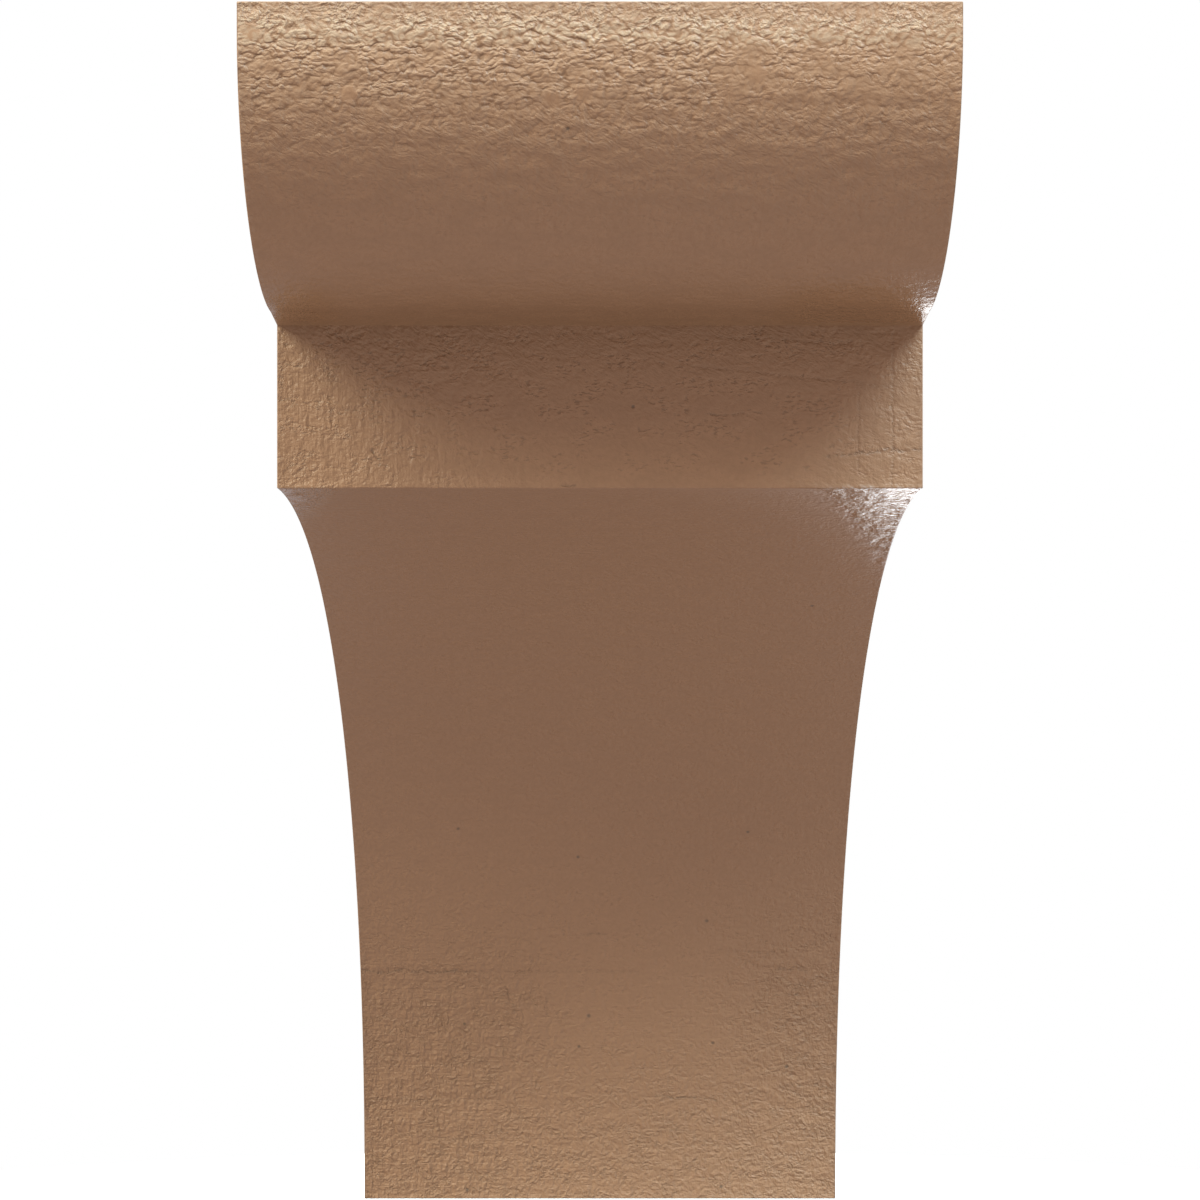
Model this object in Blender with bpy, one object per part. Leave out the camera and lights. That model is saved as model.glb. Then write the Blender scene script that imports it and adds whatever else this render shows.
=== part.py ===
"""A wall corbel moulded as one block: a rounded nose, a plain fascia and a long cove down to a thin foot.

Sizes are in metres, with +Z up. The origin is the middle of the flat back face, which goes against the wall.
The corbel stands out from the wall towards -Y, and its two flat sides face -X and +X.
"""

import math

import bmesh
import bpy

# Driving sizes.
WIDTH = 0.1524
HEIGHT = 0.3048
PROJECTION = 0.3048
FOOT_DEPTH = 0.0381

# The side profile, from the top edge of the nose down to the foot.
LIP_HEIGHT = 0.0055
NOSE_RADIUS = 0.0508
SOFFIT_DEPTH = 0.0107
SOFFIT_DROP = 0.0012
FASCIA_HEIGHT = 0.0384
COVE_RADIUS = PROJECTION - FOOT_DEPTH - NOSE_RADIUS - SOFFIT_DEPTH

# The small rounding that a mould leaves on every sharp edge.
ARRIS = 0.0005
ARRIS_STEPS = 2
ARRIS_LEAST_ANGLE = math.radians(25)

# Flat facets along each arc.
NOSE_STEPS = 20
COVE_STEPS = 44

# The finish: a tan primer, almost matt.
PRIMER_COLOUR = (0.42, 0.285, 0.18, 1.0)
PRIMER_ROUGHNESS = 0.55


def clear_scene():
    """Removes the objects that the file opened with."""
    for thing in list(bpy.data.objects):
        bpy.data.objects.remove(thing)


def primer_material():
    """The opaque tan primer on every face."""
    material = bpy.data.materials.new("tan_primer")
    material.use_nodes = True
    shader = material.node_tree.nodes["Principled BSDF"]
    shader.inputs["Base Color"].default_value = PRIMER_COLOUR
    shader.inputs["Roughness"].default_value = PRIMER_ROUGHNESS
    shader.inputs["Metallic"].default_value = 0.0
    return material


def nose_arc(start_out, start_up):
    """A convex quarter circle from a vertical face at its start to a level underside at its end."""
    points = []
    for step in range(1, NOSE_STEPS + 1):
        turn = math.pi / 2 * step / NOSE_STEPS
        out = start_out - NOSE_RADIUS * (1 - math.cos(turn))
        up = start_up - NOSE_RADIUS * math.sin(turn)
        points.append((out, up))
    return points


def cove_arc(start_out, start_up):
    """A concave quarter circle from a level underside at its start to a vertical face at its end."""
    points = []
    for step in range(1, COVE_STEPS + 1):
        turn = math.pi / 2 * step / COVE_STEPS
        out = start_out - COVE_RADIUS * math.sin(turn)
        up = start_up - COVE_RADIUS * (1 - math.cos(turn))
        points.append((out, up))
    return points


def side_profile():
    """The closed outline of the side, as (distance out from the wall, height) pairs."""
    top = HEIGHT / 2
    outline = [(0.0, -top), (0.0, top), (PROJECTION, top)]
    outline.append((PROJECTION, top - LIP_HEIGHT))
    outline += nose_arc(*outline[-1])
    nose_end_out, nose_end_up = outline[-1]
    fascia_out = nose_end_out - SOFFIT_DEPTH
    fascia_top = nose_end_up - SOFFIT_DROP
    fascia_foot = fascia_top - FASCIA_HEIGHT
    outline += [(fascia_out, fascia_top), (fascia_out, fascia_foot)]
    outline += cove_arc(fascia_out, fascia_foot)
    outline.append((FOOT_DEPTH, -top))
    return outline


def block_mesh(outline):
    """The outline drawn on one flat side, then drawn out across the whole width."""
    mesh = bpy.data.meshes.new("corbel")
    block = bmesh.new()
    corners = [block.verts.new((-WIDTH / 2, -out, up)) for out, up in outline]
    side = block.faces.new(corners)
    swept = bmesh.ops.extrude_face_region(block, geom=[side])
    far_corners = [part for part in swept["geom"] if isinstance(part, bmesh.types.BMVert)]
    bmesh.ops.translate(block, verts=far_corners, vec=(WIDTH, 0.0, 0.0))
    bmesh.ops.recalc_face_normals(block, faces=block.faces)
    block.to_mesh(mesh)
    block.free()
    return mesh


def soften_edges(thing):
    """Rounds the sharp edges, and leaves the shallow creases between the facets of an arc."""
    bevel = thing.modifiers.new("arris", "BEVEL")
    bevel.width = ARRIS
    bevel.segments = ARRIS_STEPS
    bevel.limit_method = "ANGLE"
    bevel.angle_limit = ARRIS_LEAST_ANGLE


def make_corbel():
    """The whole corbel as one object."""
    mesh = block_mesh(side_profile())
    mesh.materials.append(primer_material())
    mesh.shade_smooth()
    mesh.set_sharp_from_angle(angle=ARRIS_LEAST_ANGLE)
    corbel = bpy.data.objects.new("corbel", mesh)
    bpy.context.scene.collection.objects.link(corbel)
    soften_edges(corbel)
    return corbel


clear_scene()
make_corbel()
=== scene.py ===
"""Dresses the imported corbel: one closed skin with sawn relief, a tan primer, studio light and the camera."""

import sys  # noqa: E702

import logging
import math
from dataclasses import dataclass, field, replace
from enum import Enum

import bmesh
import bpy
import numpy as np
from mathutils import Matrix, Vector


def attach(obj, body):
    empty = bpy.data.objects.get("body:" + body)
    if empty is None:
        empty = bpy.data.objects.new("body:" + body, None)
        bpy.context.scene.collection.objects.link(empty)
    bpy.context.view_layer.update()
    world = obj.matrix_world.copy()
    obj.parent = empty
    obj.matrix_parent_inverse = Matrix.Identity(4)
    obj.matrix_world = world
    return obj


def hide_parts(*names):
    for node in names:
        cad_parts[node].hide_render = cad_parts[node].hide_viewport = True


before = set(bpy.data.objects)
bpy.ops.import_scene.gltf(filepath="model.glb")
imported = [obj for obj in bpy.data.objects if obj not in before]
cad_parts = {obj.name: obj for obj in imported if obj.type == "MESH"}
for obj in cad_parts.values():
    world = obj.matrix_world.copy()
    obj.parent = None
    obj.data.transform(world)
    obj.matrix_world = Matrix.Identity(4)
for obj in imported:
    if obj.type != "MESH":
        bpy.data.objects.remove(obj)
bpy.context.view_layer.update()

MM = 0.001
UV_NAME = "grain_map"
UV_UNIT = 0.1
WELD = 3e-7
FAR = 40.0
POINTS_AT_ONCE = 4096

log = logging.getLogger("corbel")


class Plane(Enum):
    """The faces of the block, each with its own place on the grain map, in map units."""

    FRONT = (0.0, 0.0)
    LEFT = (-6.0, 0.0)
    RIGHT = (6.0, 0.0)
    TOP = (0.0, 8.0)
    FOOT = (0.0, -8.0)
    BACK = (12.0, 12.0)


def smoothstep(low: float, high: float, value: np.ndarray) -> np.ndarray:
    """Eases from 0 at low to 1 at high.

    Args:
        low: Where the step starts.
        high: Where it ends; it may be below low, and the step then falls.
        value: The values to step.

    Returns:
        The eased values, from 0 to 1.
    """
    t = np.clip((value - low) / (high - low), 0.0, 1.0)
    return t * t * (3 - 2 * t)


@dataclass(frozen=True)
class Moulding:
    """The sizes of the corbel, in metres: those of the solid, with a crisper edge."""

    width: float = 0.1524
    height: float = 0.3048
    projection: float = 0.3048
    foot_depth: float = 0.0381
    lip_height: float = 0.0055
    nose_radius: float = 0.0508
    soffit_depth: float = 0.0107
    soffit_drop: float = 0.0012
    fascia_height: float = 0.0384
    arris: float = 0.00028

    @property
    def cove_radius(self) -> float:
        """The radius that the cove is left with."""
        return self.projection - self.foot_depth - self.nose_radius - self.soffit_depth

    @property
    def fascia_out(self) -> float:
        """How far the fascia stands out from the wall."""
        return self.projection - self.nose_radius - self.soffit_depth

    @property
    def fascia_top(self) -> float:
        """The height of the fascia's top edge."""
        return self.height / 2 - self.lip_height - self.nose_radius - self.soffit_drop

    @property
    def nose_end(self) -> float:
        """The distance down the skin to where the nose ends."""
        return self.lip_height + self.nose_radius * math.pi / 2

    @property
    def fascia_start(self) -> float:
        """The distance down the skin to the fascia's top edge."""
        return self.nose_end + math.hypot(self.soffit_depth, self.soffit_drop)

    @property
    def fascia_end(self) -> float:
        """The distance down the skin to the fascia's bottom edge."""
        return self.fascia_start + self.fascia_height


@dataclass(frozen=True)
class SkinSteps:
    """How finely the skin is divided, in metres or in counts."""

    nose: float = 0.00056
    soffit: float = 0.0012
    fascia: float = 0.0008
    cove: float = 0.0012
    foot: float = 0.001
    across: float = 0.00101
    arris: int = 3
    side: int = 10


@dataclass
class FrontPath:
    """The line from the top front edge to the foot: points in (out, up), and their inset directions."""

    size: Moulding
    steps: SkinSteps
    points: list = field(default_factory=list)
    insets: list = field(default_factory=list)
    rounded: list = field(default_factory=list)

    def __post_init__(self) -> None:
        """Lays the whole line."""
        size, r, top = self.size, self.size.arris, self.size.height / 2
        fascia_foot = size.fascia_top - size.fascia_height
        self._arc((size.projection - r, top - r), r, 90, 0, self.steps.arris, rounded=True)
        self._line((size.projection, top - size.lip_height), self.steps.nose)
        nose_centre = (size.projection - size.nose_radius, top - size.lip_height)
        nose_steps = round(size.nose_radius * math.pi / 2 / self.steps.nose)
        self._arc(nose_centre, size.nose_radius, 0, -90, nose_steps)
        self._line((size.fascia_out, size.fascia_top), self.steps.soffit)
        self._line((size.fascia_out, fascia_foot + r), self.steps.fascia)
        self._arc((size.fascia_out - r, fascia_foot + r), r, 0, -90, self.steps.arris, rounded=True)
        self._cove((size.fascia_out, fascia_foot - size.cove_radius))
        self._line((size.foot_depth, -top + r), self.steps.foot)
        self._arc((size.foot_depth - r, -top + r), r, 0, -90, self.steps.arris, rounded=True)

    def _add(self, point: tuple, inset: tuple, rounded: bool) -> None:
        """Adds a point, or mitres the last one where the new point is the same.

        Args:
            point: The point, in (out, up).
            inset: The direction out of the block there.
            rounded: True where the facet that ends here is part of a small rounding.
        """
        if self.points and math.dist(point, self.points[-1]) < WELD:
            old = self.insets[-1]
            share = 1 + old[0] * inset[0] + old[1] * inset[1]
            self.insets[-1] = ((old[0] + inset[0]) / share, (old[1] + inset[1]) / share)
            return
        self.points.append(point)
        self.insets.append(inset)
        self.rounded.append(rounded)

    def _arc(
        self, centre: tuple, radius: float, start: float, end: float, count: int, rounded: bool = False
    ) -> None:
        """Adds a convex arc.

        Args:
            centre: The arc's centre in (out, up).
            radius: Its radius.
            start: The angle of its first point above level, in degrees.
            end: The angle of its last point.
            count: The number of facets.
            rounded: True for the small rounding of an edge.
        """
        for step in range(count + 1):
            turn = math.radians(start + (end - start) * step / count)
            normal = (math.cos(turn), math.sin(turn))
            point = (centre[0] + radius * normal[0], centre[1] + radius * normal[1])
            self._add(point, normal, rounded and step > 0)

    def _line(self, end: tuple, step: float) -> None:
        """Adds a straight run from the last point.

        Args:
            end: Where it ends, in (out, up).
            step: The rough spacing of its points.
        """
        start = self.points[-1]
        length = math.dist(start, end)
        along = ((end[0] - start[0]) / length, (end[1] - start[1]) / length)
        normal = (-along[1], along[0])
        count = max(1, round(length / step))
        for k in range(count + 1):
            share = k / count
            point = (start[0] + (end[0] - start[0]) * share, start[1] + (end[1] - start[1]) * share)
            self._add(point, normal, False)

    def _cove(self, centre: tuple) -> None:
        """Adds the concave quarter circle, from under the fascia to the foot.

        Args:
            centre: Its centre in (out, up).
        """
        radius = self.size.cove_radius
        start = math.asin(self.size.arris / radius)
        count = round(radius * (math.pi / 2 - start) / self.steps.cove)
        for k in range(1, count + 1):
            turn = start + (math.pi / 2 - start) * k / count
            normal = (math.sin(turn), -math.cos(turn))
            self._add((centre[0] - radius * normal[0], centre[1] - radius * normal[1]), normal, False)

    def arrays(self) -> tuple[np.ndarray, np.ndarray, np.ndarray, np.ndarray]:
        """The line as arrays.

        Returns:
            The points, the inset directions, the distances along the skin, and which points end a rounded
            facet.
        """
        points, insets = np.array(self.points), np.array(self.insets)
        along = np.concatenate([[0.0], np.cumsum(np.linalg.norm(np.diff(points, axis=0), axis=1))])
        return points, insets, along, np.array(self.rounded)


@dataclass
class Patch:
    """A grid of points that becomes a sheet of quads."""

    points: np.ndarray
    uvs: np.ndarray
    rounded_rows: np.ndarray
    rounded_columns: np.ndarray

    def add_to(self, mesh: bmesh.types.BMesh) -> None:
        """Adds the sheet's vertices and quads.

        Args:
            mesh: The mesh that takes them, with its layers made.
        """
        uv_layer = mesh.loops.layers.uv[UV_NAME]
        rounded = mesh.faces.layers.int["rounded"]
        rows, columns = self.points.shape[:2]
        corners = [[mesh.verts.new(self.points[i, j]) for j in range(columns)] for i in range(rows)]
        for i in range(rows - 1):
            for j in range(columns - 1):
                places = ((i, j), (i + 1, j), (i + 1, j + 1), (i, j + 1))
                face = mesh.faces.new([corners[row][column] for row, column in places])
                face[rounded] = int(self.rounded_rows[i + 1] or self.rounded_columns[j + 1])
                for loop, place in zip(face.loops, places):
                    loop[uv_layer].uv = self.uvs[place]


@dataclass(frozen=True)
class Mark:
    """A spot or a line on the front, in millimetres across from the middle and down the skin."""

    across: float
    down: float
    radius: float
    far_across: float = 0.0
    far_down: float = 0.0


@dataclass(frozen=True)
class FrontMarks:
    """The marks that can be told apart on the front."""

    dabs: tuple = (
        Mark(-73.4, 6.6, 2.8),
        Mark(-53.0, 19.2, 2.5),
        Mark(-3.6, 19.5, 2.5),
        Mark(-10.2, 20.6, 2.1),
        Mark(33.2, 15.3, 2.4),
    )
    pits: tuple = (
        Mark(7.8, 115.3, 0.62),
        Mark(-6.8, 26.5, 0.55),
        Mark(58.6, 232.2, 0.75),
        Mark(-43.7, 331.6, 0.75),
        Mark(-6.8, 342.3, 0.8),
        Mark(45.6, 332.7, 0.7),
        Mark(33.7, 366.0, 0.8),
        Mark(-43.3, 402.4, 0.7),
        Mark(-3.5, 399.6, 0.9),
        Mark(-6.7, 410.1, 0.75),
        Mark(36.3, 408.9, 0.75),
        Mark(60.1, 417.0, 0.9),
        Mark(39.4, 456.6, 0.8),
        Mark(-43.1, 457.6, 0.8),
    )
    cracks: tuple = (
        Mark(-6.3, 370.7, 0.74, 2.2, 370.9),
        Mark(-30.9, 387.1, 0.74, -27.2, 398.6),
        Mark(-75.8, 384.1, 1.05, -40.0, 384.3),
        Mark(56.3, 382.8, 0.88, 65.9, 384.3),
        Mark(56.5, 392.5, 0.80, 63.9, 392.3),
        Mark(17.1, 426.7, 0.88, 37.8, 428.1),
        Mark(-53.8, 102.6, 0.59, -53.6, 103.9),
        Mark(-63.8, 106.5, 0.59, -63.6, 108.4),
        Mark(-53.5, 125.7, 0.63, -52.5, 128.2),
        Mark(-9.4, 133.8, 0.53, -6.1, 133.8),
        Mark(35.9, 96.9, 0.80, 37.2, 99.4),
        Mark(38.6, 96.7, 0.80, 37.2, 99.4),
        Mark(25.4, 117.4, 0.59, 33.9, 116.9),
        Mark(53.9, 127.0, 0.74, 75.9, 125.0),
        Mark(72.6, 124.0, 0.70, 73.7, 124.3),
    )
    grooves: tuple = (
        Mark(68.95, 98.0, 0.75, 69.0, 134.4),
        Mark(61.0, 112.0, 0.65, 61.0, 131.5),
        Mark(6.6, 102.5, 0.60, 6.6, 109.0),
        Mark(-76.2, 384.1, 1.10, 12.0, 384.3),
        Mark(-76.2, 428.3, 1.00, -26.0, 428.2),
        Mark(28.0, 98.9, 0.80, 60.0, 100.4),
        Mark(22.0, 105.7, 0.80, 68.0, 110.5),
        Mark(35.8, 376.4, 0.90, 50.4, 377.2),
        Mark(-57.9, 416.0, 0.85, -32.2, 415.7),
        Mark(45.1, 415.3, 0.90, 51.2, 417.0),
        Mark(59.7, 423.1, 0.95, 74.8, 424.1),
        Mark(20.3, 427.7, 0.95, 52.6, 425.4),
        Mark(52.7, 431.4, 0.85, 74.9, 430.7),
        Mark(-53.0, 440.7, 0.85, -22.0, 440.8),
        Mark(12.9, 439.0, 0.90, 30.4, 438.5),
        Mark(15.5, 450.8, 0.80, 27.8, 452.8),
        Mark(-73.4, 408.0, 0.75, -73.4, 457.0),
        Mark(-54.0, 408.0, 0.75, -54.0, 457.0),
        Mark(-33.2, 408.0, 0.75, -33.2, 457.0),
    )


@dataclass(frozen=True)
class ReliefMasks:
    """Where each kind of grain is strong on the front, as a value for each point of the skin.

    Every mask takes a and s, the millimetres across from the middle and down the skin. A pair of places is
    the stretch over which a part begins or ends, so that no grain starts at a line.
    """

    marks: FrontMarks = FrontMarks()
    lip_end: tuple = (3.0, 8.0)
    nose_weaker: tuple = (16.0, 24.0)
    nose_fading: tuple = (24.0, 42.0)
    nose_smooth: tuple = (42.0, 60.0)
    nose_out: tuple = (84.0, 92.0)
    fascia_in: tuple = (94.0, 98.0)
    fascia_calmer: tuple = (102.0, 116.0)
    fascia_out: tuple = (134.0, 136.0)
    cove_in: tuple = (134.0, 137.0)
    foot_in: tuple = (395.0, 445.0)
    left_part: tuple = (-45.0, 0.0)
    glint_top: float = 134.5
    glint_in: tuple = (134.05, 134.7)
    mark_reach: float = 2.2

    def _dabs(self, a: np.ndarray, s: np.ndarray) -> np.ndarray:
        """The smooth dabs.

        Args:
            a: Millimetres across.
            s: Millimetres down.

        Returns:
            1 where the skin is as moulded, and 0 in the middle of a dab.
        """
        kept = np.ones_like(a)
        for dab in self.marks.dabs:
            gap = np.hypot(a - dab.across, s - dab.down) / dab.radius
            kept *= smoothstep(0.35, 1.0, gap)
        return kept

    def _glint(self, a: np.ndarray, s: np.ndarray) -> np.ndarray:
        """The outer corners of the cove's top, which taper down to the edges.

        Args:
            a: Millimetres across.
            s: Millimetres down.

        Returns:
            1 in the corners, easing to 0.
        """
        drop = s - self.glint_top
        right = smoothstep(45.5 + 0.33 * drop, 53 + 0.33 * drop, a) * (1 - smoothstep(66, 96, drop))
        left = smoothstep(-58 - 0.3 * drop, -64 - 0.3 * drop, a) * (1 - smoothstep(24, 54, drop))
        return smoothstep(*self.glint_in, s) * np.maximum(right, left)

    def _low(self, a: np.ndarray, s: np.ndarray) -> np.ndarray:
        """The rough parts low on the cove: its left, its right and along its foot.

        Args:
            a: Millimetres across.
            s: Millimetres down.

        Returns:
            1 in the rough parts, easing to 0.
        """
        left = (1 - smoothstep(-40, 5, a)) * smoothstep(345, 410, s)
        right = smoothstep(30, 66, a) * smoothstep(350, 395, s)
        return np.maximum(np.maximum(left, right), 0.95 * smoothstep(*self.foot_in, s))

    def _on_fascia(self, s: np.ndarray) -> np.ndarray:
        """1 on the fascia."""
        return smoothstep(*self.fascia_in, s) * (1 - smoothstep(*self.fascia_out, s))

    def _fascia_sides(self, a: np.ndarray, s: np.ndarray) -> np.ndarray:
        """1 at the rough left of the fascia, less at its right, and 0 off it."""
        return self._on_fascia(s) * np.maximum(1 - smoothstep(-50, 0, a), 0.45 * smoothstep(38, 62, a))

    def torn(self, a: np.ndarray, s: np.ndarray) -> np.ndarray:
        """The torn grain: coarse on the left of the nose, finer on its right, weak further down.

        Args:
            a: Millimetres across.
            s: Millimetres down.

        Returns:
            The strength at each point, from 0 to 1.
        """
        nose = 0.52 + 0.48 * smoothstep(*self.lip_end, s)
        for stretch, loss in ((self.nose_weaker, 0.46), (self.nose_fading, 0.34), (self.nose_smooth, 0.18)):
            nose -= loss * smoothstep(*stretch, s)
        right = 1.0 - 0.42 * smoothstep(23.0, 26.0, a) * (1 - smoothstep(19, 24, s))
        fascia = 0.10 * smoothstep(92, 96, s) * (1 - smoothstep(133, 136, s))
        fascia += 0.28 * self._fascia_sides(a, s)
        cove = 0.05 + 0.33 * self._low(a, s) + 0.25 * self._glint(a, s)
        value = nose * right * (1 - smoothstep(*self.nose_out, s)) + fascia + cove * smoothstep(133, 137, s)
        return value * self._dabs(a, s)

    def tooth(self, a: np.ndarray, s: np.ndarray) -> np.ndarray:
        """The fine tooth: strong at the left and right of the fascia and low on the cove, weak between.

        Args:
            a: Millimetres across.
            s: Millimetres down.

        Returns:
            The strength at each point.
        """
        fascia = self._on_fascia(s) * (0.6 - 0.26 * smoothstep(*self.fascia_calmer, s))
        fascia += 0.55 * self._fascia_sides(a, s)
        cove = smoothstep(*self.cove_in, s) * (0.9 + 1.45 * self._low(a, s) + 0.1 * self._glint(a, s))
        lip = 1.1 * (1 - smoothstep(3.5, 8.0, s))
        nose = (0.62 + lip) * (1 - smoothstep(90, 96, s))
        return (nose + fascia + cove) * (0.3 + 0.7 * self._dabs(a, s))

    def streak(self, a: np.ndarray, s: np.ndarray) -> np.ndarray:
        """The upright grain: strong at the left of the fascia, and at the lower left of the cove.

        Args:
            a: Millimetres across.
            s: Millimetres down.

        Returns:
            The strength at each point.
        """
        on_fascia = smoothstep(*self.fascia_in, s) * (1 - smoothstep(133, 135, s))
        left = 0.18 + 0.82 * (1 - smoothstep(-52, -8, a))
        low = smoothstep(365, 410, s) * (0.6 + 1.35 * (1 - smoothstep(*self.left_part, a)))
        return on_fascia * left + low + 0.06

    def ripple(self, a: np.ndarray, s: np.ndarray) -> np.ndarray:
        """The wider lumps: full in the glints, and weaker wherever other grain is strong.

        Args:
            a: Millimetres across.
            s: Millimetres down.

        Returns:
            The strength at each point.
        """
        nose = 0.55 * smoothstep(14, 22, s) * (1 - smoothstep(36, 60, s))
        rough = 0.15 * self._fascia_sides(a, s) + 0.75 * self._low(a, s)
        return nose + rough + 1.1 * self._glint(a, s) + 0.32

    def dash(self, a: np.ndarray, s: np.ndarray) -> np.ndarray:
        """The nicks, small hollows whose colour is also darkened as painted shade: plain on the fascia, and
        fewer elsewhere.

        Args:
            a: Millimetres across.
            s: Millimetres down.

        Returns:
            The strength at each point.
        """
        fascia = 1.3 * smoothstep(96, 99, s) * (1 - smoothstep(128, 134, s))
        fascia *= 1 - 0.6 * smoothstep(50, 66, a)
        cove = smoothstep(*self.cove_in, s) * (0.25 + 0.5 * smoothstep(300, 380, s))
        nose = 0.7 * smoothstep(20, 28, s) * (1 - smoothstep(40, 62, s))
        return nose + fascia + cove

    def hair(self, s: np.ndarray) -> np.ndarray:
        """The slanted hair lines: below the torn grain of the nose, on the fascia, and weakly on the cove.

        Args:
            s: Millimetres down.

        Returns:
            The strength at each point.
        """
        nose = 0.95 * smoothstep(18, 26, s) * (1 - 0.88 * smoothstep(36, 56, s))
        fascia = smoothstep(*self.fascia_in, s) * (1 - smoothstep(133, 136, s))
        fascia *= 0.6 - 0.35 * smoothstep(*self.fascia_calmer, s)
        return nose * (1 - smoothstep(*self.nose_out, s)) + fascia + 0.12 * smoothstep(*self.cove_in, s)

    def nose_highlight(self, s: np.ndarray) -> np.ndarray:
        """Where a painted highlight makes the crests along the top of the nose paler."""
        return (0.45 + 0.55 * smoothstep(2.5, 5.0, s)) * (1 - smoothstep(7.5, 11.0, s))

    def saw(self, a: np.ndarray, s: np.ndarray) -> np.ndarray:
        """The level saw lines, which are plain at the top and the foot of the cove.

        Args:
            a: Millimetres across.
            s: Millimetres down.

        Returns:
            The strength at each point.
        """
        high = 1.35 * smoothstep(133.5, 136, s) - 1.2 * smoothstep(160, 240, s)
        low = smoothstep(350, 410, s) * (0.6 + 1.6 * (1 - smoothstep(*self.left_part, a)))
        return 0.15 + high + low + 0.8 * self._glint(a, s)

    def polish(self, a: np.ndarray, s: np.ndarray) -> np.ndarray:
        """The shinier parts: both ends of the nose's underside and of the cove's top, more on the right.

        Args:
            a: Millimetres across.
            s: Millimetres down.

        Returns:
            The share of the polish at each point.
        """
        under_nose = smoothstep(55, 75, s) * (1 - smoothstep(93, 96, s))
        ends = np.maximum(smoothstep(36, 52, a), 0.8 * smoothstep(-56, -68, a))
        return np.maximum(under_nose * ends, self._glint(a, s))

    def offset(self, marks: tuple, a: np.ndarray, s: np.ndarray) -> np.ndarray:
        """How far each point lies from its nearest mark, and which way, in radii of the mark.

        The third value is 0 near a mark and large elsewhere, so the length is above 1 wherever no mark is.

        Args:
            marks: The spots or lines of one kind.
            a: Millimetres across.
            s: Millimetres down.

        Returns:
            One vector for each point.
        """
        best = np.zeros((len(a), 3))
        best[:, 2] = FAR
        nearest = np.full(len(a), np.inf)
        points = np.stack([a, s], axis=1)
        for mark in marks:
            start = np.array([mark.across, mark.down])
            line = np.array([mark.far_across, mark.far_down]) - start if mark.far_down else np.zeros(2)
            share = np.clip((points - start) @ line / max(line @ line, 1e-9), 0.0, 1.0)
            away = points - start - share[:, None] * line
            gap = np.linalg.norm(away, axis=1)
            closer = (gap < nearest) & (gap < mark.radius + self.mark_reach)
            nearest[closer] = gap[closer]
            best[closer, :2] = away[closer] / mark.radius
            best[closer, 2] = 0.0
        return best


@dataclass(frozen=True)
class Grain:
    """One flat noise: its cells in a millimetre across and down, its own number and its finer layers."""

    per_mm: tuple
    seed: float
    detail: float = 2.0
    roughness: float = 0.5

    @property
    def shift(self) -> tuple:
        """Where this noise is read, so that no two are alike."""
        return (self.seed * 17.3, self.seed * 9.7, 0.0)


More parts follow.
